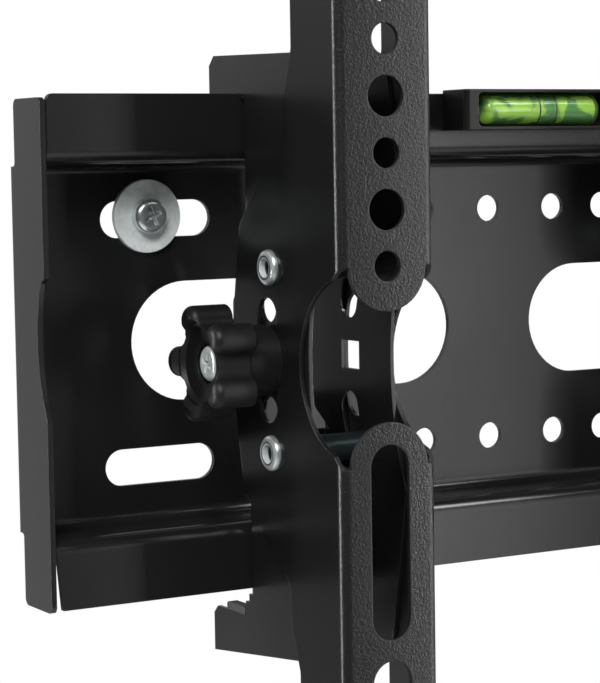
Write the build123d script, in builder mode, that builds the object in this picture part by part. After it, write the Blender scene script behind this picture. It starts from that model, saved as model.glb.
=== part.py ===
from build123d import *
import os
from math import atan2, degrees, hypot

# Tilting wall mount for a flat screen. X runs along the wall plate, +Y points into the wall,
# +Z is up. The wall lies in the plane Y = 0, and the origin is the centre of the plate's back.

os.makedirs("parts", exist_ok=True)

# Sheet metal and clearances
SHEET = 1.5
PLATE_BEND_IN = 3.0
END_BEND_IN = 0.5
ARM_SHEET = 1.2
ARM_BEND_IN = 1.4
SLIDE_GAP = 0.1
RUN_GAP = 0.05
SEAT_GAP = 0.02

# Wall plate
PLATE_LEN = 320.0
RAIL_TIP = 70.5
RAIL_Y = -22.0
SHELF_Z = 51.2
RAIL_SLIT = 0.6
RAIL_CORNER = 2.0
RAIL_SLANT = 1.5
RAIL_SLANT_START = 55.0

# End flanges of the wall plate
FLANGE_BEND_Z = 51.0
FLANGE_STEP_Y = -4.2
FLANGE_FRONT_Y = -22.4
FLANGE_TOP = 69.5
FLANGE_BOTTOM = -71.0
FLANGE_CORNER_R = 2.0
FLANGE_STEP_R = 1.2
RECESS_TOP = 20.7
RECESS_BOTTOM = -18.3
RECESS_NICK = 1.4
RECESS_NICK_Y = -20.0
RECESS_DEEP_Y = -17.2
RECESS_DEEP_Z = 1.0

# Openings in the web, the outer ones placed from the plate's ends
OVAL_FROM_END = 90.25
OVAL_LEN = 109.0
OVAL_H = 34.6
SLOT_FROM_END = 44.25
SLOT_Z = 35.5
SLOT_LEN = 35.0
SLOT_H = 10.5
WEB_HOLE_R = 4.1
WEB_HOLE_Z = 35.7
WEB_HOLE_X = (0.0, 24.6, 44.0)

# Level on the upper rail
LEVEL_X = -0.7
LEVEL_LEN = 59.0
LEVEL_SIZE = 12.0
LEVEL_Z = 65.5
LEVEL_CORNER = 1.6
LEVEL_EDGE_R = 0.4
WINDOW_LEN = 50.0
WINDOW_CORNER = 1.8
VIAL_R = 5.0
VIAL_LEN = 42.0
VIAL_WALL = 0.9
VIAL_END_R = 2.5
BUBBLE_R = 1.5
BUBBLE_LEN = 7.0

# Wall screws with their washers, in the upper slots
WALL_SCREW_FROM_END = 41.0
WALL_SCREW_Z = 36.3
WALL_SHANK_R = 3.0
WALL_HEAD_R = 5.1
WALL_HEAD_H = 3.6
WALL_HEAD_ROUND = 1.9
WALL_CROSS_TURN = 25.0
WALL_WASHER_R = 10.5
WALL_WASHER_HOLE_R = 3.3
WALL_WASHER_T = 1.6
WALL_WASHER_EDGE_R = 0.3
CROSS_LEN = 5.4
CROSS_WIDTH = 1.2
CROSS_DEPTH = 1.8
CROSS_TAPER = 12.0

# Tilt mechanism: everything swings about a virtual axis in front of the arm's face
MECH_Z = -3.7
PIVOT_Y = -100.0
BOLT_Y = -36.7
RIVET_Y = -39.8
RIVET_DZ = 25.8
TILT = 10.0

# Arm, given for the left side
ARM_X = -85.0
ARM_W = 30.0
ARM_FRONT_Y = -77.0
ARM_LEN = 330.0
ARM_EDGE_Y = -53.3
ARM_STEP_Y = -48.7
ARM_SHOULDER_Y = -22.6
ARM_BULGE_Y = -17.6
ARM_EDGE_DZ = 85.0
ARM_STEP_DZ = 72.5
ARM_NECK_DZ = 62.0
ARM_SHOULDER_DZ = 37.5
ARM_BULGE_DZ = 8.0
ARM_BULGE_R = 60.0
ARM_OUTLINE_R = 5.0
CUTOUT_AHEAD = 2.7
CUTOUT_R = 24.2
LOBE_R = 12.0
LOBE_DZ = 26.8
FLARE_IN = 4.5
FLARE_DZ = 22.4
HOLE_PITCH = 15.0
SMALL_HOLE_R = 4.1
LARGE_HOLE_R = 5.5
ARM_SLOT_W = 12.0
ARM_SLOT_LEN = 53.0
ARM_SLOT_BRIDGE = 5.6
ARM_END_LAND = 6.0
WALL_ARC_W = 10.4
WALL_ARC_HALF = 17.5

# Hook bracket, inside the arm's channel
BRACKET_SIDE_GAP = 0.2
WEB_UPPER_LOW = 20.0
WEB_UPPER_TOP = 69.0
WEB_LOWER_TOP = -26.0
WEB_LOWER_LOW = -72.0
HOOK_REAR_Y = -3.5
HOOK_LOW_Z = 61.0
HOOK_TOP_Z = 81.7
HOOK_CHAMFER = 2.8
BRACKET_FRONT_Y = -57.0
BRACKET_TOP_Z = 80.4
BRACKET_PEAK_Y = -65.5
BRACKET_PEAK_DZ = 36.0
BRACKET_WAIST_Y = -58.0
BRACKET_FRONT_CORNER_R = 2.5
BRACKET_LOW_Z = -85.6
FOOT_REAR_Y = -0.5
FOOT_LOW_Z = -92.0
FOOT_TOP_Z = -78.6
FOOT_NECK_Z = -74.4
FOOT_NECK_Y = -20.0
FOOT_CHAMFER = 2.2
GUIDE_ARC_W = 8.8
CHEEK_BULGE_Y = -15.6
CHEEK_BULGE_DZ = 16.0
CHEEK_BULGE_R = 3.0
HOOK_CORNER_R = 1.5

# Rivets
RIVET_R = 4.0
RIVET_BORE_R = 2.65
RIVET_FLANGE_R = 5.0
RIVET_FLANGE_H = 1.8
RIVET_RIM_R = 3.5
RIVET_EDGE_H = 0.5
RIVET_ROLL_DROP = 0.3
RIVET_ROLL_OUT = 0.2

# Clamp knob, its screw, washer and nut
KNOB_LOBES = 5
KNOB_LOBE_R = 4.2
KNOB_LOBE_PITCH_R = 12.3
KNOB_CORE_R = 10.4
KNOB_VALLEY_R = 3.0
KNOB_STAR_T = 13.0
KNOB_FRONT_R = 2.6
KNOB_BACK_R = 0.8
KNOB_HUB_R = 10.0
KNOB_HUB_LEN = 8.45
DISH_R = 12.6
LEDGE_DEPTH = 1.7
LEDGE_OUTER_R = 11.5
LEDGE_INNER_R = 10.6
DISH_FLOOR_DEPTH = 3.1
DISH_FLOOR_R = 9.9
COLLAR_DEPTH = 3.9
COLLAR_R = 6.4
SEAT_RING_DEPTH = 4.4
SCREW_WELL_R = 5.5
SCREW_WELL_DEPTH = 7.5
CLAMP_SHAFT_R = 3.0
CLAMP_HEAD_R = 5.1
CLAMP_HEAD_H = 3.1
CLAMP_HEAD_ROUND = 1.7
CLAMP_CROSS_TURN = 20.0
CLAMP_END_CHAMFER = 0.6
CLAMP_END_PAST_NUT = 1.5
KNOB_WASHER_R = 9.8
KNOB_WASHER_T = 1.5
NUT_SIDE = 13.0
NUT_T = 5.0
NUT_NECK_Y = 9.6
NUT_NECK_Z = 7.8
NUT_NECK_GAP = 0.1
NUT_CHAMFER = 0.6

# Bumpers clipped on the foot
BUMPER_FRONT_Y = -19.4
BUMPER_REAR_Y = -8.5
BUMPER_TOP_Z = -76.2
BUMPER_TOP_R = 1.1
BUMPER_GRIP = 3.0
BUMPER_SIDE = 1.6

# Derived lines
mid = SHEET / 2
arm_mid = ARM_SHEET / 2
arm_bend_mid = ARM_BEND_IN + arm_mid
half_len = PLATE_LEN / 2
oval_x = half_len - OVAL_FROM_END
slot_x = half_len - SLOT_FROM_END
wall_screw_x = half_len - WALL_SCREW_FROM_END
rail_half = half_len - SHEET - RAIL_SLIT
arm_half = ARM_W / 2
arm_left_face = ARM_X - arm_half
cutout_y = ARM_FRONT_Y - CUTOUT_AHEAD
flare_y = ARM_FRONT_Y + FLARE_IN
bracket_half = arm_half - ARM_SHEET - BRACKET_SIDE_GAP
bracket_left_face = ARM_X - bracket_half
bracket_rear_y = RAIL_Y - SLIDE_GAP
web_bend_y = bracket_rear_y - ARM_BEND_IN - ARM_SHEET
bolt_arc_r = BOLT_Y - PIVOT_Y
rivet_arc_r = hypot(RIVET_Y - PIVOT_Y, RIVET_DZ)
rivet_angle = degrees(atan2(RIVET_DZ, RIVET_Y - PIVOT_Y))
wall_arc_half_angle = degrees((WALL_ARC_HALF - WALL_ARC_W / 2) / bolt_arc_r)
guide_margin = degrees((GUIDE_ARC_W / 2 - RIVET_R) / rivet_arc_r) / 2
guide_half_angle = TILT + guide_margin
first_hole_z = MECH_Z + LOBE_DZ
first_slot_top = MECH_Z - LOBE_DZ + ARM_SLOT_W / 2
slot_step = ARM_SLOT_LEN + ARM_SLOT_BRIDGE
hole_room = ARM_LEN / 2 - LOBE_DZ - LARGE_HOLE_R - ARM_END_LAND
hole_count = int(hole_room // HOLE_PITCH) + 1
slot_room = ARM_LEN / 2 - LOBE_DZ + ARM_SLOT_W / 2 - ARM_END_LAND
slot_count = int((slot_room + ARM_SLOT_BRIDGE) // slot_step)
level_y = RAIL_Y - LEVEL_SIZE / 2
washer_face = arm_left_face - SEAT_GAP
hub_face = washer_face - KNOB_WASHER_T - SEAT_GAP
star_back = hub_face - KNOB_HUB_LEN
star_front = star_back - KNOB_STAR_T
well_floor = star_front + SCREW_WELL_DEPTH
nut_face = bracket_left_face + ARM_SHEET + SEAT_GAP

# Paths of the arc slots, all about the virtual axis
wall_arc_path = CenterArc(
    (PIVOT_Y, MECH_Z), bolt_arc_r, -wall_arc_half_angle, 2 * wall_arc_half_angle
)
upper_guide_path = CenterArc(
    (PIVOT_Y, MECH_Z), rivet_arc_r, rivet_angle - guide_half_angle, 2 * guide_half_angle
)
lower_guide_path = CenterArc(
    (PIVOT_Y, MECH_Z), rivet_arc_r, -rivet_angle - guide_half_angle, 2 * guide_half_angle
)

# Wall plate: web, shelves and standing rails are folded from one sheet
with BuildPart() as wall_plate:
    with BuildSketch(Plane.YZ.offset(-rail_half)):
        with BuildLine():
            FilletPolyline(
                (RAIL_Y + mid, RAIL_TIP),
                (RAIL_Y + mid, SHELF_Z + mid),
                (-mid, SHELF_Z + mid),
                (-mid, -SHELF_Z - mid),
                (RAIL_Y + mid, -SHELF_Z - mid),
                (RAIL_Y + mid, -RAIL_TIP),
                radius=PLATE_BEND_IN + mid,
            )
        trace(line_width=SHEET)
    extrude(amount=2 * rail_half)
    tips = wall_plate.edges().filter_by(Axis.Y).group_by(Axis.Z)
    fillet(tips[0] + tips[-1], radius=RAIL_CORNER)

    # the lower rail's ends slant away from the end flanges
    with BuildSketch(Plane.XZ.offset(-RAIL_Y - 2 * SHEET)):
        with BuildLine():
            Polyline(
                (-rail_half, -RAIL_SLANT_START),
                (-rail_half, -RAIL_TIP - SHEET),
                (-rail_half + RAIL_SLANT, -RAIL_TIP - SHEET),
                close=True,
            )
        make_face()
        mirror(about=Plane.YZ)
    extrude(amount=3 * SHEET, mode=Mode.SUBTRACT)

    # the web runs on past the rails' ends and folds forward
    with BuildSketch(Plane.XY.offset(-FLANGE_BEND_Z)):
        with BuildLine():
            FilletPolyline(
                (-half_len + mid, FLANGE_STEP_Y),
                (-half_len + mid, -mid),
                (-rail_half, -mid),
                radius=END_BEND_IN + mid,
            )
        trace(line_width=SHEET)
        mirror(about=Plane.YZ)
    extrude(amount=2 * FLANGE_BEND_Z)

    # end flanges, with a shallow recess that the knob passes over
    with BuildSketch(
        Plane.YZ.offset(-half_len), Plane.YZ.offset(half_len - SHEET)
    ) as flange:
        with Locations(
            (
                (FLANGE_FRONT_Y + FLANGE_STEP_Y) / 2,
                (FLANGE_TOP + FLANGE_BOTTOM) / 2,
            )
        ):
            Rectangle(FLANGE_STEP_Y - FLANGE_FRONT_Y, FLANGE_TOP - FLANGE_BOTTOM)
        fillet(flange.vertices(), radius=FLANGE_CORNER_R)
        with BuildLine():
            outer = FLANGE_FRONT_Y - 1
            Polyline(
                (RECESS_NICK_Y, RECESS_TOP - RECESS_NICK),
                (FLANGE_FRONT_Y, RECESS_TOP),
                (outer, RECESS_TOP),
                (outer, RECESS_BOTTOM),
                (FLANGE_FRONT_Y, RECESS_BOTTOM),
            )
            ThreePointArc(
                (FLANGE_FRONT_Y, RECESS_BOTTOM),
                (RECESS_DEEP_Y, RECESS_DEEP_Z),
                (RECESS_NICK_Y, RECESS_TOP - RECESS_NICK),
            )
        make_face(mode=Mode.SUBTRACT)
    extrude(amount=SHEET)
    steps = (
        wall_plate.edges()
        .filter_by(Axis.X)
        .filter_by_position(Axis.Y, FLANGE_STEP_Y - 0.01, FLANGE_STEP_Y + 0.01)
        .filter_by_position(Axis.Z, -FLANGE_BEND_Z - 0.01, FLANGE_BEND_Z + 0.01)
    )
    fillet(steps, radius=FLANGE_STEP_R)

    # ovals, wall slots and round holes through the web
    with BuildSketch(Plane.XZ):
        with Locations((-oval_x, 0), (oval_x, 0)):
            SlotOverall(OVAL_LEN, OVAL_H)
        with GridLocations(2 * slot_x, 2 * SLOT_Z, 2, 2):
            SlotOverall(SLOT_LEN, SLOT_H)
        with Locations(
            [(s * x, r * WEB_HOLE_Z) for x in WEB_HOLE_X[1:] for s in (-1, 1) for r in (-1, 1)]
            + [(WEB_HOLE_X[0], r * WEB_HOLE_Z) for r in (-1, 1)]
        ):
            Circle(WEB_HOLE_R)
    extrude(amount=SHEET, mode=Mode.SUBTRACT)
wall_plate.part.label = "wall_plate"

# Level: a moulded block with a window in front of the vial
with BuildPart() as level_housing:
    with BuildSketch(Plane.YZ.offset(LEVEL_X - LEVEL_LEN / 2)):
        with Locations((level_y, LEVEL_Z)):
            Rectangle(LEVEL_SIZE, LEVEL_SIZE)
    extrude(amount=LEVEL_LEN)
    front = level_housing.faces().sort_by(Axis.Y)[0]
    fillet(front.edges().filter_by(Axis.Z), radius=LEVEL_CORNER)
    fillet(level_housing.faces().sort_by(Axis.Y)[0].edges().filter_by(Axis.X), radius=LEVEL_EDGE_R)
    with BuildSketch(Plane.XZ.offset(-level_y)):
        with Locations((LEVEL_X, LEVEL_Z)):
            RectangleRounded(WINDOW_LEN, 2 * VIAL_R + 2 * RUN_GAP, WINDOW_CORNER)
    extrude(amount=LEVEL_SIZE, mode=Mode.SUBTRACT)
    with BuildSketch(Plane.YZ.offset(LEVEL_X - VIAL_LEN / 2 - RUN_GAP)):
        with Locations((level_y, LEVEL_Z)):
            Circle(VIAL_R + RUN_GAP)
    extrude(amount=VIAL_LEN + 2 * RUN_GAP, mode=Mode.SUBTRACT)
level_housing.part.label = "level_housing"

with BuildPart() as level_vial:
    with BuildSketch(Plane.YZ.offset(LEVEL_X - VIAL_LEN / 2)):
        with Locations((level_y, LEVEL_Z)):
            Circle(VIAL_R)
    extrude(amount=VIAL_LEN)
    fillet(level_vial.edges(), radius=VIAL_END_R)
    with BuildSketch(Plane.YZ.offset(LEVEL_X - VIAL_LEN / 2 + VIAL_WALL)):
        with Locations((level_y, LEVEL_Z)):
            Circle(VIAL_R - VIAL_WALL)
    inside = extrude(amount=VIAL_LEN - 2 * VIAL_WALL, mode=Mode.PRIVATE)
    add(inside.fillet(VIAL_END_R - VIAL_WALL, inside.edges()), mode=Mode.SUBTRACT)
level_vial.part.label = "level_vial"

with BuildPart() as level_liquid:
    with BuildSketch(Plane.YZ.offset(LEVEL_X - VIAL_LEN / 2 + VIAL_WALL + SEAT_GAP)):
        with Locations((level_y, LEVEL_Z)):
            Circle(VIAL_R - VIAL_WALL - SEAT_GAP)
    extrude(amount=VIAL_LEN - 2 * VIAL_WALL - 2 * SEAT_GAP)
    fillet(level_liquid.edges(), radius=VIAL_END_R - VIAL_WALL)
    # the bubble is a hollow along the liquid's top
    with BuildSketch(Plane.YZ.offset(LEVEL_X - BUBBLE_LEN / 2)):
        with Locations((level_y, LEVEL_Z + VIAL_R - VIAL_WALL)):
            Circle(BUBBLE_R)
    extrude(amount=BUBBLE_LEN, mode=Mode.SUBTRACT)
level_liquid.part.label = "level_liquid"

# Wall screw and washer in the upper left slot; the screw is cut off at the wall face
screw_seat = -SHEET - WALL_WASHER_T - SEAT_GAP
with BuildPart() as wall_washer_left:
    with BuildSketch(Plane.XZ.offset(SHEET + SEAT_GAP)):
        with Locations((-wall_screw_x, WALL_SCREW_Z)):
            Circle(WALL_WASHER_R)
            Circle(WALL_WASHER_HOLE_R, mode=Mode.SUBTRACT)
    extrude(amount=WALL_WASHER_T)
    rim = wall_washer_left.faces().sort_by(Axis.Y)[0].edges().sort_by(SortBy.RADIUS)[-1]
    fillet(rim, radius=WALL_WASHER_EDGE_R)
wall_washer_left.part.label = "wall_washer_left"

with BuildPart() as wall_screw_left:
    head_y = screw_seat - WALL_HEAD_H
    with BuildSketch(Plane.XY.offset(WALL_SCREW_Z)) as screw_half:
        with BuildLine():
            Polyline(
                (-wall_screw_x, head_y),
                (-wall_screw_x, -SEAT_GAP),
                (-wall_screw_x + WALL_SHANK_R, -SEAT_GAP),
                (-wall_screw_x + WALL_SHANK_R, screw_seat),
                (-wall_screw_x + WALL_HEAD_R, screw_seat),
                (-wall_screw_x + WALL_HEAD_R, head_y),
                close=True,
            )
        make_face()
        rim = screw_half.vertices().group_by(Axis.Y)[0].sort_by(Axis.X)[-1]
        fillet(rim, radius=WALL_HEAD_ROUND)
    revolve(axis=Axis((-wall_screw_x, 0, WALL_SCREW_Z), (0, 1, 0)))
    with BuildSketch(Plane.XZ.offset(-head_y)):
        with Locations((-wall_screw_x, WALL_SCREW_Z)):
            Rectangle(CROSS_LEN, CROSS_WIDTH, rotation=WALL_CROSS_TURN)
            Rectangle(CROSS_WIDTH, CROSS_LEN, rotation=WALL_CROSS_TURN)
    extrude(amount=-CROSS_DEPTH, taper=CROSS_TAPER, mode=Mode.SUBTRACT)
wall_screw_left.part.label = "wall_screw_left"

# Arm: a long folded channel, cut out round the mechanism
with BuildPart() as left_arm:
    with BuildSketch(Plane.XY.offset(MECH_Z - ARM_LEN / 2)):
        with BuildLine():
            rear = ARM_BULGE_Y + SHEET
            FilletPolyline(
                (ARM_X - arm_half + arm_mid, rear),
                (ARM_X - arm_half + arm_mid, ARM_FRONT_Y + arm_mid),
                (ARM_X + arm_half - arm_mid, ARM_FRONT_Y + arm_mid),
                (ARM_X + arm_half - arm_mid, rear),
                radius=arm_bend_mid,
            )
        trace(line_width=ARM_SHEET)
    extrude(amount=ARM_LEN)

    # outline of the side walls, which widen towards the mechanism
    with BuildSketch(Plane.YZ.offset(arm_left_face - SHEET)) as side:
        with BuildLine():
            upper = [
                (ARM_FRONT_Y - SHEET, ARM_LEN / 2),
                (ARM_EDGE_Y, ARM_LEN / 2),
                (ARM_EDGE_Y, ARM_EDGE_DZ),
                (ARM_STEP_Y, ARM_STEP_DZ),
                (ARM_STEP_Y, ARM_NECK_DZ),
                (ARM_SHOULDER_Y, ARM_SHOULDER_DZ),
                (ARM_BULGE_Y, ARM_BULGE_DZ),
            ]
            outline = [(y, MECH_Z + dz) for y, dz in upper]
            outline += [(y, MECH_Z - dz) for y, dz in reversed(upper)]
            radii = [0.01] + [ARM_OUTLINE_R] * 5 + [ARM_BULGE_R]
            FilletPolyline(*outline, radius=radii + radii[::-1], close=True)
        make_face()
    extrude(amount=ARM_W + 2 * SHEET, mode=Mode.INTERSECT)

    # round cut-out of the side walls, flared towards the front
    with BuildSketch(Plane.YZ.offset(arm_left_face - SHEET)):
        with Locations((cutout_y, MECH_Z)):
            Circle(CUTOUT_R)
        with BuildLine():
            front_y = ARM_FRONT_Y - 1
            Polyline(
                (flare_y, MECH_Z + FLARE_DZ),
                (ARM_FRONT_Y + arm_mid, MECH_Z + LOBE_DZ),
                (front_y, MECH_Z + LOBE_DZ),
                (front_y, MECH_Z - LOBE_DZ),
                (ARM_FRONT_Y + arm_mid, MECH_Z - LOBE_DZ),
                (flare_y, MECH_Z - FLARE_DZ),
                close=True,
            )
        make_face()
    cut_walls = extrude(amount=ARM_W + 2 * SHEET, mode=Mode.PRIVATE)

    # the front face ends in a round lobe above and below the cut-out
    with BuildSketch(Plane.XZ.offset(-ARM_FRONT_Y - CUTOUT_R - SHEET)):
        with Locations((ARM_X, MECH_Z + LOBE_DZ), (ARM_X, MECH_Z - LOBE_DZ)):
            Circle(LOBE_R)
    keep_lobes = extrude(amount=CUTOUT_R + 2 * SHEET, mode=Mode.PRIVATE)
    add(cut_walls - keep_lobes, mode=Mode.SUBTRACT)

    # arc slot for the clamp screw and the rivets' holes, through both walls
    with BuildSketch(Plane.YZ.offset(arm_left_face)):
        SlotArc(arc=wall_arc_path, height=WALL_ARC_W)
        with Locations((RIVET_Y, MECH_Z + RIVET_DZ), (RIVET_Y, MECH_Z - RIVET_DZ)):
            Circle(RIVET_R + SEAT_GAP)
    extrude(amount=ARM_W, mode=Mode.SUBTRACT)

    # holes above and long slots below for the screen's bolts
    with BuildSketch(Plane.XZ.offset(-ARM_FRONT_Y)):
        with Locations([(ARM_X, first_hole_z + HOLE_PITCH * i) for i in range(0, hole_count, 2)]):
            Circle(SMALL_HOLE_R)
        with Locations([(ARM_X, first_hole_z + HOLE_PITCH * i) for i in range(1, hole_count, 2)]):
            Circle(LARGE_HOLE_R)
        with Locations(
            [
                (ARM_X, first_slot_top - ARM_SLOT_LEN / 2 - slot_step * i)
                for i in range(slot_count)
            ]
        ):
            SlotOverall(ARM_SLOT_LEN, ARM_SLOT_W, rotation=90)
    extrude(amount=-ARM_SHEET, mode=Mode.SUBTRACT)
left_arm.part.label = "left_arm"

# Hook bracket: two cheeks joined by two rear webs that rest on the rails
with BuildPart() as left_hook_bracket:
    with BuildSketch(
        Plane.YZ.offset(bracket_left_face),
        Plane.YZ.offset(bracket_left_face + 2 * bracket_half - ARM_SHEET),
    ) as cheek:
        with BuildLine():
            hook_slot_rear = RAIL_Y + SHEET + SLIDE_GAP
            hook_slot_top = RAIL_TIP + SLIDE_GAP
            Polyline(
                (BRACKET_PEAK_Y, MECH_Z - BRACKET_PEAK_DZ),
                (BRACKET_FRONT_Y, BRACKET_LOW_Z),
                (FOOT_REAR_Y, FOOT_LOW_Z),
                (FOOT_REAR_Y, FOOT_TOP_Z - FOOT_CHAMFER),
                (FOOT_REAR_Y - FOOT_CHAMFER, FOOT_TOP_Z),
                (FOOT_NECK_Y, FOOT_TOP_Z),
                (FOOT_NECK_Y, FOOT_NECK_Z),
                (bracket_rear_y, FOOT_NECK_Z),
                (bracket_rear_y, WEB_LOWER_LOW),
                (web_bend_y, WEB_LOWER_LOW),
                (web_bend_y, WEB_LOWER_TOP),
                (CHEEK_BULGE_Y, MECH_Z - CHEEK_BULGE_DZ),
                (CHEEK_BULGE_Y, MECH_Z + CHEEK_BULGE_DZ),
                (web_bend_y, WEB_UPPER_LOW),
                (web_bend_y, WEB_UPPER_TOP),
                (bracket_rear_y, WEB_UPPER_TOP),
                (bracket_rear_y, hook_slot_top),
                (hook_slot_rear, hook_slot_top),
                (hook_slot_rear, HOOK_LOW_Z),
                (HOOK_REAR_Y, HOOK_LOW_Z),
                (HOOK_REAR_Y, HOOK_TOP_Z - HOOK_CHAMFER),
                (HOOK_REAR_Y - HOOK_CHAMFER, HOOK_TOP_Z),
                (BRACKET_FRONT_Y, BRACKET_TOP_Z),
                (BRACKET_PEAK_Y, MECH_Z + BRACKET_PEAK_DZ),
            )
            ThreePointArc(
                (BRACKET_PEAK_Y, MECH_Z + BRACKET_PEAK_DZ),
                (BRACKET_WAIST_Y, MECH_Z),
                (BRACKET_PEAK_Y, MECH_Z - BRACKET_PEAK_DZ),
            )
        make_face()
        front_corners = cheek.vertices().filter_by_position(
            Axis.X, BRACKET_PEAK_Y - 1, BRACKET_FRONT_Y + 1
        )
        fillet(front_corners, radius=BRACKET_FRONT_CORNER_R)
        hook_corners = cheek.vertices().filter_by_position(
            Axis.Y, HOOK_LOW_Z - 0.01, HOOK_LOW_Z + 0.01
        )
        fillet(hook_corners, radius=HOOK_CORNER_R)
        bulge_corners = cheek.vertices().filter_by_position(
            Axis.X, CHEEK_BULGE_Y - 0.01, CHEEK_BULGE_Y + 0.01
        )
        fillet(bulge_corners, radius=CHEEK_BULGE_R)
        SlotArc(arc=upper_guide_path, height=GUIDE_ARC_W, mode=Mode.SUBTRACT)
        SlotArc(arc=lower_guide_path, height=GUIDE_ARC_W, mode=Mode.SUBTRACT)
        with Locations((BOLT_Y, MECH_Z)):
            Rectangle(
                NUT_NECK_Y + 2 * NUT_NECK_GAP, NUT_NECK_Z + 2 * NUT_NECK_GAP, mode=Mode.SUBTRACT
            )
    extrude(amount=ARM_SHEET)
    for low, top in ((WEB_LOWER_LOW, WEB_LOWER_TOP), (WEB_UPPER_LOW, WEB_UPPER_TOP)):
        with BuildSketch(Plane.XY.offset(low)):
            with BuildLine():
                lap = web_bend_y - ARM_SHEET
                left_mid = bracket_left_face + arm_mid
                right_mid = bracket_left_face + 2 * bracket_half - arm_mid
                FilletPolyline(
                    (left_mid, lap),
                    (left_mid, bracket_rear_y - arm_mid),
                    (right_mid, bracket_rear_y - arm_mid),
                    (right_mid, lap),
                    radius=arm_bend_mid,
                )
            trace(line_width=ARM_SHEET)
        extrude(amount=top - low)
left_hook_bracket.part.label = "left_hook_bracket"

# Rivets: hollow, flanged at both ends, held in the arm and running in the guide slots
rivet_out = arm_left_face - RIVET_FLANGE_H
with BuildPart() as left_upper_rivet:
    with BuildSketch(Plane.XY.offset(MECH_Z + RIVET_DZ)):
        with BuildLine():
            Polyline(
                (rivet_out, RIVET_Y + RIVET_RIM_R),
                (rivet_out, RIVET_Y + RIVET_BORE_R),
                (ARM_X, RIVET_Y + RIVET_BORE_R),
                (ARM_X, RIVET_Y + RIVET_R),
                (arm_left_face - SEAT_GAP, RIVET_Y + RIVET_R),
                (arm_left_face - SEAT_GAP, RIVET_Y + RIVET_FLANGE_R),
                (arm_left_face - RIVET_EDGE_H, RIVET_Y + RIVET_FLANGE_R),
            )
            ThreePointArc(
                (arm_left_face - RIVET_EDGE_H, RIVET_Y + RIVET_FLANGE_R),
                (
                    rivet_out + RIVET_ROLL_DROP,
                    RIVET_Y + (RIVET_RIM_R + RIVET_FLANGE_R) / 2 + RIVET_ROLL_OUT,
                ),
                (rivet_out, RIVET_Y + RIVET_RIM_R),
            )
        make_face()
    revolve(axis=Axis((ARM_X, RIVET_Y, MECH_Z + RIVET_DZ), (1, 0, 0)))
    mirror(about=Plane.YZ.offset(ARM_X))
left_upper_rivet.part.label = "left_upper_rivet"

with BuildPart() as left_lower_rivet:
    mirror(left_upper_rivet.part, about=Plane.XY.offset(MECH_Z))
left_lower_rivet.part.label = "left_lower_rivet"

# Clamp knob: five rounded lobes, a dished front and a hub that presses the washer
with BuildPart() as left_knob:
    with BuildSketch(Plane.YZ.offset(star_back)) as star:
        with Locations((BOLT_Y, MECH_Z)):
            Circle(KNOB_CORE_R)
            with PolarLocations(KNOB_LOBE_PITCH_R, KNOB_LOBES):
                Circle(KNOB_LOBE_R)
        fillet(star.vertices(), radius=KNOB_VALLEY_R)
    extrude(amount=-KNOB_STAR_T)
    fillet(left_knob.faces().sort_by(Axis.X)[0].edges(), radius=KNOB_FRONT_R)
    fillet(left_knob.faces().sort_by(Axis.X)[-1].edges(), radius=KNOB_BACK_R)
    with BuildSketch(Plane.YZ.offset(star_back)):
        with Locations((BOLT_Y, MECH_Z)):
            Circle(KNOB_HUB_R)
    extrude(amount=KNOB_HUB_LEN)
    with BuildSketch(Plane.XY.offset(MECH_Z)):
        with BuildLine():
            Polyline(
                (star_front - 1, BOLT_Y),
                (star_front - 1, BOLT_Y + DISH_R),
                (star_front, BOLT_Y + DISH_R),
                (star_front + LEDGE_DEPTH, BOLT_Y + LEDGE_OUTER_R),
                (star_front + LEDGE_DEPTH, BOLT_Y + LEDGE_INNER_R),
                (star_front + DISH_FLOOR_DEPTH, BOLT_Y + DISH_FLOOR_R),
                (star_front + COLLAR_DEPTH, BOLT_Y + COLLAR_R),
                (star_front + SEAT_RING_DEPTH, BOLT_Y + SCREW_WELL_R),
                (well_floor, BOLT_Y + SCREW_WELL_R),
                (well_floor, BOLT_Y + CLAMP_SHAFT_R + RUN_GAP),
                (hub_face + 1, BOLT_Y + CLAMP_SHAFT_R + RUN_GAP),
                (hub_face + 1, BOLT_Y),
                close=True,
            )
        make_face()
    revolve(axis=Axis((0, BOLT_Y, MECH_Z), (1, 0, 0)), mode=Mode.SUBTRACT)
left_knob.part.label = "left_knob"

with BuildPart() as left_knob_screw:
    seat = well_floor - SEAT_GAP
    head_x = seat - CLAMP_HEAD_H
    end = nut_face + NUT_T + CLAMP_END_PAST_NUT
    with BuildSketch(Plane.XY.offset(MECH_Z)) as screw_half:
        with BuildLine():
            Polyline(
                (head_x, BOLT_Y),
                (end, BOLT_Y),
                (end, BOLT_Y + CLAMP_SHAFT_R - CLAMP_END_CHAMFER),
                (end - CLAMP_END_CHAMFER, BOLT_Y + CLAMP_SHAFT_R),
                (seat, BOLT_Y + CLAMP_SHAFT_R),
                (seat, BOLT_Y + CLAMP_HEAD_R),
                (head_x, BOLT_Y + CLAMP_HEAD_R),
                close=True,
            )
        make_face()
        rim = screw_half.vertices().group_by(Axis.X)[0].sort_by(Axis.Y)[-1]
        fillet(rim, radius=CLAMP_HEAD_ROUND)
    revolve(axis=Axis((0, BOLT_Y, MECH_Z), (1, 0, 0)))
    with BuildSketch(Plane.YZ.offset(head_x)):
        with Locations((BOLT_Y, MECH_Z)):
            Rectangle(CROSS_LEN, CROSS_WIDTH, rotation=CLAMP_CROSS_TURN)
            Rectangle(CROSS_WIDTH, CROSS_LEN, rotation=CLAMP_CROSS_TURN)
    extrude(amount=CROSS_DEPTH, taper=CROSS_TAPER, mode=Mode.SUBTRACT)
left_knob_screw.part.label = "left_knob_screw"

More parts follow.
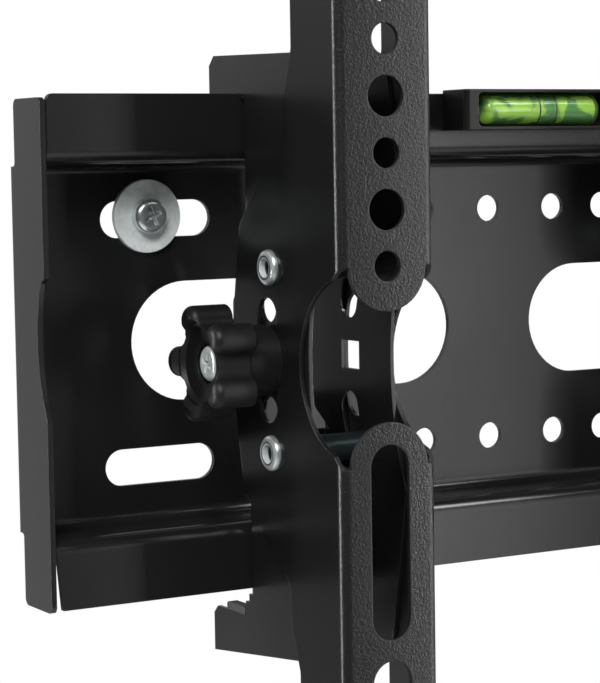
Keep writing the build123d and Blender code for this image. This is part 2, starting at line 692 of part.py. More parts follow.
with BuildPart() as left_knob_washer:
    with BuildSketch(Plane.YZ.offset(washer_face)):
        with Locations((BOLT_Y, MECH_Z)):
            Circle(KNOB_WASHER_R)
            Circle(CLAMP_SHAFT_R + RUN_GAP, mode=Mode.SUBTRACT)
    extrude(amount=-KNOB_WASHER_T)
left_knob_washer.part.label = "left_knob_washer"

# Square nut, kept from turning by its neck in the bracket's square hole
with BuildPart() as left_clamp_nut:
    with BuildSketch(Plane.YZ.offset(nut_face)):
        with Locations((BOLT_Y, MECH_Z)):
            Rectangle(NUT_SIDE, NUT_SIDE)
    extrude(amount=NUT_T)
    chamfer(left_clamp_nut.faces().sort_by(Axis.X)[-1].edges(), length=NUT_CHAMFER)
    with BuildSketch(Plane.YZ.offset(nut_face)):
        with Locations((BOLT_Y, MECH_Z)):
            Rectangle(NUT_NECK_Y, NUT_NECK_Z)
    extrude(amount=-ARM_SHEET)
    with BuildSketch(Plane.YZ.offset(nut_face - ARM_SHEET)):
        with Locations((BOLT_Y, MECH_Z)):
            Circle(CLAMP_SHAFT_R + RUN_GAP)
    extrude(amount=ARM_SHEET + NUT_T, mode=Mode.SUBTRACT)
left_clamp_nut.part.label = "left_clamp_nut"

# Bumper on the foot's upper edge: flush outside, with a lip that grips the cheek inside
with BuildPart() as left_outer_bumper:
    bumper_mid_y = (BUMPER_FRONT_Y + BUMPER_REAR_Y) / 2
    with BuildSketch(Plane.YZ.offset(bracket_left_face)):
        with Locations((bumper_mid_y, (BUMPER_TOP_Z + FOOT_TOP_Z - BUMPER_GRIP) / 2)):
            Rectangle(
                BUMPER_REAR_Y - BUMPER_FRONT_Y, BUMPER_TOP_Z - FOOT_TOP_Z + BUMPER_GRIP
            )
    extrude(amount=ARM_SHEET + BUMPER_SIDE)
    fillet(
        left_outer_bumper.edges().filter_by(Axis.X).group_by(Axis.Z)[-1],
        radius=BUMPER_TOP_R,
    )
    with BuildSketch(Plane.YZ.offset(bracket_left_face)):
        with Locations((bumper_mid_y, FOOT_TOP_Z - BUMPER_GRIP)):
            Rectangle(2 * (BUMPER_REAR_Y - BUMPER_FRONT_Y), 2 * BUMPER_GRIP + 2 * SEAT_GAP)
    extrude(amount=ARM_SHEET + SEAT_GAP, mode=Mode.SUBTRACT)
left_outer_bumper.part.label = "left_outer_bumper"

with BuildPart() as left_inner_bumper:
    mirror(left_outer_bumper.part, about=Plane.YZ.offset(ARM_X))
left_inner_bumper.part.label = "left_inner_bumper"

# The right side mirrors the left, so both knobs stand on the outside
left_side = [
    wall_screw_left,
    wall_washer_left,
    left_arm,
    left_hook_bracket,
    left_upper_rivet,
    left_lower_rivet,
    left_knob,
    left_knob_screw,
    left_knob_washer,
    left_clamp_nut,
    left_outer_bumper,
    left_inner_bumper,
]
right_side = []
for piece in left_side:
    with BuildPart() as mirrored:
        mirror(piece.part, about=Plane.YZ)
    mirrored.part.label = piece.part.label.replace("left", "right")
    right_side.append(mirrored)

for piece in [wall_plate, level_housing, level_vial, level_liquid] + left_side + right_side:
    export_step(piece.part, f"parts/{piece.part.label}.step")
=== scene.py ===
"""Looks of a tilting wall mount for a flat screen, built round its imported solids.

Lengths in the settings are in metres. X runs along the wall plate, +Y points into the wall
and +Z is up, as in the solids.
"""

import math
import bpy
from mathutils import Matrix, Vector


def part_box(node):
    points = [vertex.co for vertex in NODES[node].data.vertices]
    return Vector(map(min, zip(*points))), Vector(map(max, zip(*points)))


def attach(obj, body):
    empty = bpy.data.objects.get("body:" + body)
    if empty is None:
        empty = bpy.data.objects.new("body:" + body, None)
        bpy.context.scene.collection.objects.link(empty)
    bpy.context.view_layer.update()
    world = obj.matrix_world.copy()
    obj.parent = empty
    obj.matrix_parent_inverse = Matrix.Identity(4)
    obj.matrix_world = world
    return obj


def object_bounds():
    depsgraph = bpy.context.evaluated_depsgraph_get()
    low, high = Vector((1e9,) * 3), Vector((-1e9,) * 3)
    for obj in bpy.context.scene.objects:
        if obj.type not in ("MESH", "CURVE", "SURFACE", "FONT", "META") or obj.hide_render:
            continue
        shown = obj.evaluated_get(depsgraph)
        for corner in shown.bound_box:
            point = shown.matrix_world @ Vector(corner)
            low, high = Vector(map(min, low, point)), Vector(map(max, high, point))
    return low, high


bl_info = {
    "name": "Tilting Wall Mount",
    "version": (1, 0, 0),
    "blender": (4, 5, 0),
    "location": "View3D > Sidebar > Wall Mount",
    "description": "Finishes, small details and a stage for a tilting wall mount",
    "category": "Object",
}

import bpy
from mathutils import Matrix, Vector

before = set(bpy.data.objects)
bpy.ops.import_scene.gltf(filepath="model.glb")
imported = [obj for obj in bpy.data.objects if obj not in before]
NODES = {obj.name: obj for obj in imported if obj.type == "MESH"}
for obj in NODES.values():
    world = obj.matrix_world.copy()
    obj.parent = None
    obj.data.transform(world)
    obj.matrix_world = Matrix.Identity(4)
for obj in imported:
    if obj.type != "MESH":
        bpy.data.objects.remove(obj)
cad_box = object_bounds()
SIDES = ("left", "right")
MM = 0.001

BEVEL_SAMPLES = 6
HARDWARE_EDGE = 0.25 * MM
MOULDED_EDGE = 0.3 * MM
RUBBER_EDGE = 0.4 * MM
LINE_PROUD = 0.035 * MM
LINE_THICKNESS = 0.03 * MM
MERGE_DISTANCE = 1e-7
FLOOR_RADIUS = 1.5
SENSOR_WIDTH = 36.0


# Shader expressions


class Wire:
    """A node's output. Python's operators on it add Math nodes."""

    def __init__(self, finish, socket):
        self.finish = finish
        self.socket = socket

    def maths(self, operation, *values):
        """Adds a Math node for an operation on values and wires."""
        return self.finish.node(
            "ShaderNodeMath", {"operation": operation}, dict(enumerate(values))
        )

    def __add__(self, other):
        return self.maths("ADD", self, other)

    def __radd__(self, other):
        return self.maths("ADD", other, self)

    def __sub__(self, other):
        return self.maths("SUBTRACT", self, other)

    def __rsub__(self, other):
        return self.maths("SUBTRACT", other, self)

    def __mul__(self, other):
        return self.maths("MULTIPLY", self, other)

    def __rmul__(self, other):
        return self.maths("MULTIPLY", other, self)

    def __truediv__(self, other):
        return self.maths("DIVIDE", self, other)

    def __rtruediv__(self, other):
        return self.maths("DIVIDE", other, self)

    def size(self):
        """The value without its sign."""
        return self.maths("ABSOLUTE", self)

    def part(self, axis):
        """One of a vector's three numbers."""
        return self.finish.node("ShaderNodeSeparateXYZ", {}, {"Vector": self}, axis)

    def step(self, low, high):
        """0 below low and 1 above high, with a smooth rise between."""
        return self.finish.node(
            "ShaderNodeMapRange",
            {"interpolation_type": "SMOOTHSTEP", "clamp": True},
            {"Value": self, "From Min": low, "From Max": high},
        )


class Finish:
    """A material, or the world, and the nodes that are added to it."""

    def __init__(self, owner):
        self.owner = owner
        owner.use_nodes = True
        self.tree = owner.node_tree
        self.shader = self.tree.nodes.get("Principled BSDF")

    def node(self, kind, settings, inputs, output=0):
        """Adds a node, sets its settings and then its sockets, and gives one output."""
        made = self.tree.nodes.new(kind)
        for key, value in settings.items():
            setattr(made, key, value)
        for key, value in inputs.items():
            self.plug(made.inputs[key], value)
        return Wire(self, made.outputs[output])

    def plug(self, socket, value):
        if isinstance(value, Wire):
            self.tree.links.new(value.socket, socket)
        else:
            socket.default_value = value

    def place(self, stretch=(1.0, 1.0, 1.0), centre=(0.0, 0.0, 0.0)):
        """Object coordinates from a centre, stretched along each axis."""
        coordinates = self.node("ShaderNodeTexCoord", {}, {}, "Object")
        return self.node(
            "ShaderNodeMapping",
            {},
            {
                "Vector": coordinates,
                "Location": tuple(-c * s for c, s in zip(centre, stretch)),
                "Scale": stretch,
            },
        )

    def noise(self, place, scale, detail=2.0, roughness=0.5, twist=0.0):
        return self.node(
            "ShaderNodeTexNoise",
            {},
            {
                "Vector": place,
                "Scale": scale,
                "Detail": detail,
                "Roughness": roughness,
                "Distortion": twist,
            },
        )

    def cells(self, place, scale):
        """Distance from the middle of the nearest cell, about 0 to 0.7."""
        return self.node(
            "ShaderNodeTexVoronoi",
            {"feature": "F1"},
            {"Vector": place, "Scale": scale},
            "Distance",
        )

    def mix(self, share, first, second):
        """A colour between two colours."""
        return self.node(
            "ShaderNodeMix",
            {"data_type": "RGBA"},
            {0: share, 6: colour(first), 7: colour(second)},
            2,
        )

    def rounded(self, radius):
        """The normal of the surface with its edges rounded."""
        return self.node("ShaderNodeBevel", {"samples": BEVEL_SAMPLES}, {"Radius": radius})

    def edges(self, soft_normal):
        """0 on flat metal, rising where an edge is rounded."""
        flat = self.node("ShaderNodeNewGeometry", {}, {}, "Normal")
        along = self.node(
            "ShaderNodeVectorMath",
            {"operation": "DOT_PRODUCT"},
            {0: flat, 1: soft_normal},
            "Value",
        )
        return (1.0 - along).step(0.02, 0.3)

    def bump(self, height, depth, strength, normal):
        """A normal with the relief of a height on top of it."""
        return self.node(
            "ShaderNodeBump",
            {},
            {"Height": height, "Distance": depth, "Strength": strength, "Normal": normal},
        )

    def paint(self, **values):
        """Sets the shader's sockets, such as base_color or roughness."""
        for key, value in values.items():
            socket = self.shader.inputs[key.replace("_", " ").title().replace("Ior", "IOR")]
            self.plug(socket, colour(value))


def colour(value):
    """A colour with its alpha; wires and plain numbers stay as they are."""
    if isinstance(value, Wire) or not hasattr(value, "__len__"):
        return value
    return (*value, 1.0) if len(value) == 3 else tuple(value)


def new_finish(name, slot):
    """A finish on a new material, which belongs to one of the record's slots."""
    made = Finish(bpy.data.materials.new(name))
    made.owner["slot"] = slot
    return made


def dress(names, finish):
    """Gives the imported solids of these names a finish."""
    for name in names:
        for slot in NODES[name].material_slots:
            slot.material = finish.owner


def both(*names):
    """The left and the right piece of each of these kinds."""
    return [f"{side}_{name}" for name in names for side in SIDES]


# Modelling


def deselect_all():
    bpy.ops.object.select_all(action="DESELECT")


def select_only(piece):
    deselect_all()
    piece.select_set(True)
    bpy.context.view_layer.objects.active = piece


def modify(piece, kind, **settings):
    """Adds a modifier and applies it."""
    select_only(piece)
    modifier = piece.modifiers.new(kind.title(), kind)
    for key, value in settings.items():
        setattr(modifier, key, value)
    bpy.ops.object.modifier_apply(modifier=modifier.name)


def outward(piece):
    """Merges doubled points and turns every face outwards."""
    select_only(piece)
    bpy.ops.object.mode_set(mode="EDIT")
    bpy.ops.mesh.select_all(action="SELECT")
    bpy.ops.mesh.remove_doubles(threshold=MERGE_DISTANCE)
    bpy.ops.mesh.normals_make_consistent(inside=False)
    bpy.ops.object.mode_set(mode="OBJECT")


def settle(piece, name, body, finish):
    """Puts the piece's place into its mesh, and gives it its body, slot and finish."""
    select_only(piece)
    bpy.ops.object.transform_apply(location=True, rotation=True, scale=True)
    piece.name = name
    piece.data.name = name
    piece.data.materials.clear()
    piece.data.materials.append(finish.owner)
    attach(piece, body)


# Settings


class CoatSettings(bpy.types.PropertyGroup):
    smooth_black: bpy.props.FloatVectorProperty(
        name="Smooth black",
        description="Colour of the coat on the wall plate and brackets",
        subtype="COLOR",
        size=3,
        min=0.0,
        max=1.0,
        default=(0.0078, 0.0079, 0.0082),
    )
    textured_black: bpy.props.FloatVectorProperty(
        name="Textured black",
        description="Colour of the coat on the arms",
        subtype="COLOR",
        size=3,
        min=0.0,
        max=1.0,
        default=(0.0068, 0.007, 0.0075),
    )
    grain: bpy.props.FloatProperty(
        name="Grain",
        description="Width of one bump of the arms' texture",
        unit="LENGTH",
        precision=5,
        default=0.54 * MM,
    )
    edge_radius: bpy.props.FloatProperty(
        name="Edge radius",
        description="How far the thick coat rounds the edges of the sheet",
        unit="LENGTH",
        precision=5,
        default=0.5 * MM,
    )
    crown: bpy.props.FloatProperty(
        name="Crown",
        description="How far the middle of an arm's rolled front stands out",
        unit="LENGTH",
        precision=5,
        default=0.6 * MM,
    )


class HardwareSettings(bpy.types.PropertyGroup):
    zinc: bpy.props.FloatVectorProperty(
        name="Zinc",
        description="Colour of the plated rivets, screws and nuts",
        subtype="COLOR",
        size=3,
        min=0.0,
        max=1.0,
        default=(0.76, 0.81, 0.81),
    )
    dull_zinc: bpy.props.FloatVectorProperty(
        name="Dull zinc",
        description="Colour of the matt plated washers under the wall screws",
        subtype="COLOR",
        size=3,
        min=0.0,
        max=1.0,
        default=(0.7, 0.75, 0.74),
    )


class MouldingSettings(bpy.types.PropertyGroup):
    plastic: bpy.props.FloatVectorProperty(
        name="Plastic",
        description="Colour of the knobs and the level's housing",
        subtype="COLOR",
        size=3,
        min=0.0,
        max=1.0,
        default=(0.0065, 0.0065, 0.0063),
    )
    rubber: bpy.props.FloatVectorProperty(
        name="Rubber",
        description="Colour of the bumpers",
        subtype="COLOR",
        size=3,
        min=0.0,
        max=1.0,
        default=(0.011, 0.011, 0.0115),
    )


class LevelSettings(bpy.types.PropertyGroup):
    lime: bpy.props.FloatVectorProperty(
        name="Lime",
        description="Bright colour of the liquid",
        subtype="COLOR",
        size=3,
        min=0.0,
        max=1.0,
        default=(0.33, 0.56, 0.04),
    )
    leaf: bpy.props.FloatVectorProperty(
        name="Leaf",
        description="Deep colour of the liquid",
        subtype="COLOR",
        size=3,
        min=0.0,
        max=1.0,
        default=(0.005, 0.1, 0.03),
    )
    line_width: bpy.props.FloatProperty(
        name="Line width",
        description="Width of the two lines round the vial",
        unit="LENGTH",
        precision=5,
        default=0.5 * MM,
    )
    line_places: bpy.props.FloatVectorProperty(
        name="Line places",
        description="Where the two lines stand along the plate",
        unit="LENGTH",
        size=2,
        precision=5,
        default=(-2.5 * MM, 3.5 * MM),
    )


class StageSettings(bpy.types.PropertyGroup):
    camera_place: bpy.props.FloatVectorProperty(
        name="Camera place",
        description="Where the camera stands",
        subtype="TRANSLATION",
        size=3,
        precision=5,
        default=(-0.40455, -0.5832, 0.0514),
    )
    camera_turns: bpy.props.FloatVectorProperty(
        name="Camera turns",
        description="Turn towards +X, tilt down and roll of the camera",
        subtype="EULER",
        size=3,
        default=(math.radians(30.01), math.radians(4.58), math.radians(-0.92)),
    )
    focal_length: bpy.props.FloatProperty(
        name="Focal length",
        description="Lens length for a 36 mm sensor along the picture's long side",
        default=119.03,
    )
    floor_drop: bpy.props.FloatProperty(
        name="Floor drop",
        description="How far below the mount's lowest point the floor lies",
        unit="LENGTH",
        default=0.28,
    )


# Coats


def smooth_coat(settings):
    """Satin powder coat: faint orange peel, paler mottle and a painted highlight on its
    edges.
    """
    coat = new_finish("Smooth black coat", "black_steel")
    place = coat.place()
    clouds = coat.noise(place, scale=16.0, detail=3.0)
    peel = coat.noise(place, scale=650.0)
    soft = coat.rounded(settings.edge_radius * 0.6)
    edge = coat.edges(soft)
    black = tuple(settings.smooth_black)
    # The paler tone on the rounded edges is a painted highlight; the clouds add a random
    # paler mottle.
    paler_tone = tuple(c * 2.0 + 0.012 for c in black)
    coat.paint(
        base_color=coat.mix(
            (edge * 0.8 + (clouds - 0.5) * 0.25).step(0.0, 1.0), black, paler_tone
        ),
        roughness=0.23 + (clouds - 0.5) * 0.1 + (peel - 0.5) * 0.06,
        specular_ior_level=0.5,
        normal=coat.bump(peel, depth=0.02 * MM, strength=0.25, normal=soft),
    )
    return coat


def textured_coat(settings):
    """Crumbed powder coat: rough on the crowned front, finer on the sides, duller inside."""
    coat = new_finish("Textured black coat", "textured_steel")
    place = coat.place()
    per_metre = 1.0 / settings.grain
    wander = coat.noise(place, scale=per_metre * 0.5)
    crumbs = coat.noise(place, scale=per_metre, detail=3.0, roughness=0.65)
    pits = coat.cells(place, scale=per_metre * 0.8)
    clouds = coat.noise(place, scale=22.0)
    soft = coat.rounded(settings.edge_radius)
    edge = coat.edges(soft)
    # -1 at one edge of an arm's front and 1 at the other, on the left and the right arm alike
    low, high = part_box("right_arm")
    half_width = (high.x - low.x) / 2
    across = (place.part("X").size() - (low.x + half_width)) / half_width
    facing = coat.node("ShaderNodeNewGeometry", {}, {}, "Normal")
    front = facing.part("Y").size().step(0.2, 0.9)
    inside = (1.0 - across.size().step(0.88, 0.96)) * (1.0 - front)
    crowned = coat.bump(across * across * -1.0, settings.crown, strength=1.0, normal=soft)
    relief = (crumbs + wander * 0.5 + (0.6 - pits) * 0.35) * (0.15 + front * 0.85)
    # The pale colour on the rounded edges and on the crumbs' glints is a painted highlight,
    # with no glints inside.
    glints = crumbs.step(0.58, 0.76)
    black = tuple(settings.textured_black)
    pale = tuple(c * 2.2 + 0.018 for c in black)
    coat.paint(
        base_color=coat.mix(
            (edge * 0.95 + glints * 0.5 * (1.0 - inside)).step(0.0, 1.0), black, pale
        ),
        roughness=0.24 + front * 0.12 + (clouds - 0.5) * 0.1 - glints * 0.1 + inside * 0.4,
        specular_ior_level=0.23,
        normal=coat.bump(relief, depth=0.19 * MM, strength=0.8, normal=crowned),
    )
    return coat


class MOUNT_OT_coat_sheet_metal(bpy.types.Operator):
    """Coats the wall plate and brackets smooth black and the arms textured black"""

    bl_idname = "mount.coat_sheet_metal"
    bl_label = "Coat sheet metal"

    def execute(self, context):
        settings = context.scene.mount_coat
        dress(["wall_plate", *both("hook_bracket")], smooth_coat(settings))
        dress(both("arm"), textured_coat(settings))
        return {"FINISHED"}


# Hardware


def zinc_plate(name, zinc, metal, roughness):
    """Zinc with a fine spangle and faint scratches, and a painted highlight on its edges."""
    plate = new_finish(name, "zinc")
    spangle = plate.noise(plate.place(), scale=420.0, detail=3.0, roughness=0.6)
    scratches = plate.noise(plate.place(stretch=(1.0, 1.0, 9.0)), scale=900.0)
    soft = plate.rounded(HARDWARE_EDGE)
    edge = plate.edges(soft)
    dull = tuple(c * 0.84 for c in zinc)
    # Brighter zinc on the rounded edges is a painted highlight.
    bright = tuple(min(c * 1.25, 1.0) for c in zinc)
    plate.paint(
        base_color=plate.mix(
            edge * 0.7, plate.mix(spangle.step(0.3, 0.7), dull, zinc), bright
        ),
        metallic=metal - (spangle - 0.5) * 0.1,
        roughness=roughness + (spangle - 0.5) * 0.12 + (scratches - 0.5) * 0.08,
        normal=plate.bump(
            spangle + scratches * 0.5, depth=0.004 * MM, strength=0.15, normal=soft
        ),
    )
    return plate


def rivet_plate(name, rivet, zinc):
    """Zinc with painted shade in the groove round the bore and on the shaft, and a bright
    bore.
    """
    low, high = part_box(rivet)
    middle, half = (low + high) / 2, (high - low) / 2
    plate = new_finish(name, "zinc")
    spangle = plate.noise(plate.place(), scale=300.0)
    from_axis = plate.node(
        "ShaderNodeVectorMath",
        {"operation": "LENGTH"},
        {0: plate.place(stretch=(0.0, 1.0, 1.0), centre=tuple(middle))},
        "Value",
    )
    along = (plate.place().part("X").size() - abs(middle.x)).size()
    head = along.step(half.x - 2.0 * MM, half.x - 1.6 * MM)
    # 0 on the rivet's axis and 1 at the edge of its flange
    rim = from_axis / half.y
    groove = rim.step(0.54, 0.6) * (1.0 - rim.step(0.64, 0.72))
    skirt = rim.step(0.9, 0.97)
    # Painted shade: the dark shaft between the walls and the dark ring in the groove round
    # the bore.
    shaft_shade, groove_shade, grey = (0.035, 0.05, 0.052), (0.07, 0.08, 0.08), (0.2, 0.22, 0.22)
    face = plate.mix(skirt * 0.6, plate.mix(groove, zinc, groove_shade), grey)
    soft = plate.rounded(HARDWARE_EDGE)
    plate.paint(
        base_color=plate.mix(head, shaft_shade, face),
        metallic=0.35 + rim.step(0.6, 0.7) * 0.35,
        roughness=0.3 + (spangle - 0.5) * 0.1,
        normal=plate.bump(spangle, depth=0.004 * MM, strength=0.1, normal=soft),
    )
    return plate


class MOUNT_OT_plate_hardware(bpy.types.Operator):
    """Zinc-plates the rivets, screws, nuts and wall washers"""

    bl_idname = "mount.plate_hardware"
    bl_label = "Plate hardware"

    def execute(self, context):
        settings = context.scene.mount_hardware
        zinc = tuple(settings.zinc)
        dress(
            [*(f"wall_screw_{side}" for side in SIDES), *both("clamp_nut")],
            zinc_plate("Bright zinc", zinc, metal=0.88, roughness=0.24),
        )
        dress(
            both("knob_screw"),
            zinc_plate("Polished zinc", zinc, metal=0.35, roughness=0.22),
        )
        for rivet in ("upper_rivet", "lower_rivet"):
            dress(both(rivet), rivet_plate(f"Zinc of {rivet}", f"left_{rivet}", zinc))
        dress(
            [f"wall_washer_{side}" for side in SIDES],
            zinc_plate("Dull zinc", tuple(settings.dull_zinc), metal=0.1, roughness=0.42),
        )
        return {"FINISHED"}


# Mouldings


def moulded_plastic(name, black, roughness, grain, depth):
    """Semi-matt plastic: eggshell relief, a paler mottle and a painted highlight on its
    edges.
    """
    plastic = new_finish(name, "black_plastic")
    place = plastic.place()
    eggshell = plastic.noise(place, scale=1.0 / grain, roughness=0.6)
    clouds = plastic.noise(place, scale=60.0)
    soft = plastic.rounded(MOULDED_EDGE)
    edge = plastic.edges(soft)
    # Paler on the rounded edges as a painted highlight, and in a random mottle from the
    # clouds.
    mottle_and_edge_highlight = tuple(c * 2.2 + 0.006 for c in black)
    plastic.paint(
        base_color=plastic.mix(
            (edge * 0.7 + (clouds - 0.5) * 0.3).step(0.0, 1.0), black, mottle_and_edge_highlight
        ),
        roughness=roughness + (clouds - 0.5) * 0.1 + (eggshell - 0.5) * 0.08,
        specular_ior_level=0.25,
        normal=plastic.bump(eggshell, depth, strength=0.6, normal=soft),
    )
    return plastic


def soft_rubber(settings):
    """Matt rubber with a grey bloom and fine pores."""
    rubber = new_finish("Bumper rubber", "black_rubber")
    place = rubber.place()
    bloom = rubber.noise(place, scale=160.0, detail=3.0)
    pores = rubber.noise(place, scale=2600.0, detail=1.0)
    soft = rubber.rounded(RUBBER_EDGE)
    black = tuple(settings.rubber)
    dusty = tuple(c * 2.0 for c in black)
    rubber.paint(
        base_color=rubber.mix(bloom.step(0.35, 0.8), black, dusty),
        roughness=0.62 + (bloom - 0.5) * 0.16,
        normal=rubber.bump(pores, depth=0.03 * MM, strength=0.6, normal=soft),
    )
    return rubber


class MOUNT_OT_finish_mouldings(bpy.types.Operator):
    """Finishes the knobs, the level's housing and the bumpers"""

    bl_idname = "mount.finish_mouldings"
    bl_label = "Finish mouldings"

    def execute(self, context):
        settings = context.scene.mount_moulding
        black = tuple(settings.plastic)
        dress(
            both("knob", "knob_washer"),
            moulded_plastic(
                "Knob plastic", black, roughness=0.46, grain=0.5 * MM, depth=0.015 * MM
            ),
        )
        dress(
            ["level_housing"],
            moulded_plastic(
                "Housing plastic", black, roughness=0.34, grain=0.35 * MM, depth=0.02 * MM
            ),
        )
        dress(both("outer_bumper", "inner_bumper"), soft_rubber(settings))
        return {"FINISHED"}


# Level


def clear_vial():
    """Clear acrylic that takes a green cast from the liquid in it."""
    clear = new_finish("Clear vial", "clear_plastic")
    haze = clear.noise(clear.place(), scale=300.0)
    deep, light = (0.2, 0.5, 0.12), (0.4, 0.7, 0.25)
    clear.paint(
        base_color=clear.mix(haze, deep, light),
        roughness=0.04 + haze * 0.03,
        specular_ior_level=0.8,
        alpha=0.15,
    )
    return clear


def level_fluid(settings):
    """Green liquid with the blotches of light that the vial throws into it."""
    fluid = new_finish("Level liquid", "liquid")
    swirl = fluid.noise(fluid.place(stretch=(1.0, 1.0, 0.8)), scale=95.0, twist=0.6)
    lime, leaf = tuple(settings.lime), tuple(settings.leaf)
    yellow = (lime[0] * 1.7, lime[1] * 1.2, lime[2])
    dim = (0.0, 0.05, 0.01)
    shade = fluid.mix(swirl.step(0.46, 0.52), leaf, lime)
    fluid.paint(
        base_color=fluid.mix(swirl.step(0.55, 0.63), shade, yellow),
        roughness=0.08 + swirl * 0.04,
        specular_ior_level=0.9,
        # The faint lime glow in the bright blotches is painted light as well.
        emission_color=fluid.mix(swirl.step(0.42, 0.6), dim, lime),
        emission_strength=0.1,
    )
    return fluid


def line_ink():
    ink = new_finish("Line ink", "black_plastic")
    wander = ink.noise(ink.place(), scale=900.0)
    dark, paler_tone = (0.008, 0.016, 0.008), (0.02, 0.03, 0.018)
    ink.paint(base_color=ink.mix(wander, dark, paler_tone), roughness=0.35 + wander * 0.1)
    return ink


class MOUNT_OT_dress_level(bpy.types.Operator):
    """Gives the level its clear vial and liquid, and draws the two lines round the vial"""

    bl_idname = "mount.dress_level"
    bl_label = "Dress level"

    def execute(self, context):
        settings = context.scene.mount_level
        dress(["level_vial"], clear_vial())
        dress(["level_liquid"], level_fluid(settings))
        ink = line_ink()
        low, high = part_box("level_vial")
        middle = (low + high) / 2
        vial_radius = (high.z - low.z) / 2
        for side, x in zip(SIDES, settings.line_places):
            deselect_all()
            bpy.ops.mesh.primitive_cylinder_add(
                vertices=64,
                radius=vial_radius + LINE_PROUD,
                depth=settings.line_width,
                end_fill_type="NOTHING",
                location=(x, middle.y, middle.z),
                rotation=(0.0, math.radians(90), 0.0),
            )
            line = bpy.context.object
            modify(line, "SOLIDIFY", thickness=LINE_THICKNESS, offset=-1.0)
            outward(line)
            settle(line, f"level_line_{side}", "plate", ink)
        return {"FINISHED"}


# Stage


# Places and sizes in metres, powers in watts
ORIGIN = (0.0, 0.0, 0.0)
PLATE_FRONT = (0.0, -0.05, 0.0)
STRIP_SIZE = (0.12, 1.8)
# Name, place, point it is turned to, size, power, and whether only gloss shows it
LIGHTS = (
    ("key", (-1.2, -1.5, 1.5), ORIGIN, (1.2, 1.0), 62.0, False),
    ("front softbox", (0.98, -1.63, 0.15), ORIGIN, (0.3, 1.6), 4.9, False),
    ("upper softbox", (0.9, -0.75, 1.2), ORIGIN, (0.5, 0.4), 9.0, False),
    ("left strip", (-1.35, 0.55, 0.0), PLATE_FRONT, STRIP_SIZE, 34.0, True),
    ("right strip", (1.3, -0.75, 0.0), PLATE_FRONT, STRIP_SIZE, 40.0, True),
)


def soft_light(name, place, target, size, power, sheen_only):
    data = bpy.data.lights.new(name, "AREA")
    data.shape = "RECTANGLE"
    data.size, data.size_y = size
    data.energy = power
    light = bpy.data.objects.new(name, data)
    bpy.context.scene.collection.objects.link(light)
    light.location = place
    light.visible_diffuse = not sheen_only
    towards = Vector(target) - Vector(place)
    light.rotation_euler = towards.to_track_quat("-Z", "Y").to_euler()


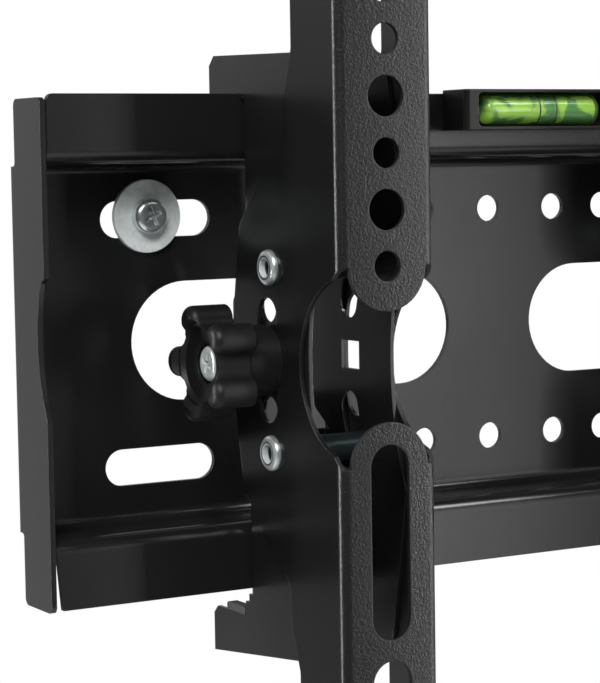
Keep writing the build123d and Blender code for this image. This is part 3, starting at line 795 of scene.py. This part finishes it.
class MOUNT_OT_set_stage(bpy.types.Operator):
    """Sets the camera, the pale floor, the soft lights and the white background"""

    bl_idname = "mount.set_stage"
    bl_label = "Set stage"

    def execute(self, context):
        settings = context.scene.mount_stage
        self.set_camera(settings)
        self.lay_floor(settings)
        for light in LIGHTS:
            soft_light(*light)
        self.fill_background()
        context.scene.view_settings.view_transform = "Standard"
        return {"FINISHED"}

    def set_camera(self, settings):
        data = bpy.data.cameras.new("Camera")
        data.sensor_width = SENSOR_WIDTH
        data.lens = settings.focal_length
        data.clip_start, data.clip_end = 0.01, 20.0
        camera = bpy.data.objects.new("Camera", data)
        bpy.context.scene.collection.objects.link(camera)
        turn, tilt, roll = settings.camera_turns
        camera.matrix_world = (
            Matrix.Translation(settings.camera_place)
            @ Matrix.Rotation(-turn, 4, "Z")
            @ Matrix.Rotation(math.radians(90) - tilt, 4, "X")
            @ Matrix.Rotation(roll, 4, "Z")
        )
        bpy.context.scene.camera = camera

    def lay_floor(self, settings):
        deselect_all()
        bpy.ops.mesh.primitive_circle_add(
            vertices=96,
            radius=FLOOR_RADIUS,
            fill_type="NGON",
            location=(0.0, 0.0, cad_box[0].z - settings.floor_drop),
        )
        floor = bpy.context.object
        floor.name = "floor"
        pale = new_finish("Pale floor", "stage")
        place = pale.place()
        reach = pale.node(
            "ShaderNodeVectorMath", {"operation": "LENGTH"}, {0: place}, "Value"
        )
        grain = pale.noise(place, scale=40.0)
        grey, lighter_grey = (0.8, 0.8, 0.8), (0.84, 0.84, 0.84)
        pale.paint(
            base_color=pale.mix(grain, grey, lighter_grey),
            roughness=0.9,
            specular_ior_level=0.1,
            alpha=1.0 - reach.step(0.55, 1.3),
        )
        floor.data.materials.append(pale.owner)

    def fill_background(self):
        """White to the camera, and a soft grey room to what the metal reflects."""
        world = bpy.context.scene.world or bpy.data.worlds.new("Studio")
        bpy.context.scene.world = world
        studio = Finish(world)
        seen = studio.node("ShaderNodeLightPath", {}, {}, "Is Camera Ray")
        glossy = studio.node("ShaderNodeLightPath", {}, {}, "Is Glossy Ray")
        clear = studio.node("ShaderNodeLightPath", {}, {}, "Is Transmission Ray")
        direction = studio.node("ShaderNodeTexCoord", {}, {}, "Object")
        right, ahead, up = (direction.part(axis) for axis in "XYZ")
        # A dark card to the left, level with the mount, which the arms' sides reflect
        card = (right * -1.0).step(0.4, 0.48) * (0.06 - up).step(-0.03, 0.05)
        card = card * (up + 0.3).step(-0.04, 0.06)
        open_side = (1.0 - card * 0.92) * (1.0 - right.step(0.1, 0.6) * 0.3)
        backdrop = 0.06 + ahead.step(0.0, 0.7) * open_side * 0.54
        room = 0.25 - ahead.step(-0.2, 0.6) * 0.2
        ambient = room * (1.0 - seen) * (1.0 - glossy) * (1.0 - clear)
        strength = seen + (glossy * backdrop + clear) * (1.0 - seen) + ambient
        background = self.background(studio)
        studio.plug(background.inputs["Color"], (1.0, 1.0, 1.0, 1.0))
        studio.plug(background.inputs["Strength"], strength)

    def background(self, studio):
        """The world's own background node, or a new one."""
        for node in studio.tree.nodes:
            if node.type == "BACKGROUND":
                return node
        made = studio.tree.nodes.new("ShaderNodeBackground")
        out = studio.tree.nodes.new("ShaderNodeOutputWorld")
        studio.tree.links.new(made.outputs[0], out.inputs[0])
        return made


# Panel


class MOUNT_PT_panel(bpy.types.Panel):
    """Lists the settings and steps of the wall mount"""

    bl_label = "Wall Mount"
    bl_idname = "MOUNT_PT_panel"
    bl_space_type = "VIEW_3D"
    bl_region_type = "UI"
    bl_category = "Wall Mount"

    def draw(self, context):
        for group, operator in STEPS:
            box = self.layout.box()
            settings = getattr(context.scene, group)
            for key in settings.bl_rna.properties.keys():
                if key not in ("rna_type", "name"):
                    box.prop(settings, key)
            box.operator(operator)


GROUPS = {
    "mount_coat": CoatSettings,
    "mount_hardware": HardwareSettings,
    "mount_moulding": MouldingSettings,
    "mount_level": LevelSettings,
    "mount_stage": StageSettings,
}
STEPS = (
    ("mount_coat", "mount.coat_sheet_metal"),
    ("mount_hardware", "mount.plate_hardware"),
    ("mount_moulding", "mount.finish_mouldings"),
    ("mount_level", "mount.dress_level"),
    ("mount_stage", "mount.set_stage"),
)
CLASSES = (
    *GROUPS.values(),
    MOUNT_OT_coat_sheet_metal,
    MOUNT_OT_plate_hardware,
    MOUNT_OT_finish_mouldings,
    MOUNT_OT_dress_level,
    MOUNT_OT_set_stage,
    MOUNT_PT_panel,
)


def register():
    for made in CLASSES:
        bpy.utils.register_class(made)
    for name, group in GROUPS.items():
        setattr(bpy.types.Scene, name, bpy.props.PointerProperty(type=group))


def unregister():
    for name in GROUPS:
        delattr(bpy.types.Scene, name)
    for made in reversed(CLASSES):
        bpy.utils.unregister_class(made)


def main():
    register()
    bpy.ops.mount.coat_sheet_metal()
    bpy.ops.mount.plate_hardware()
    bpy.ops.mount.finish_mouldings()
    bpy.ops.mount.dress_level()
    bpy.ops.mount.set_stage()


if __name__ == "__main__":
    main()
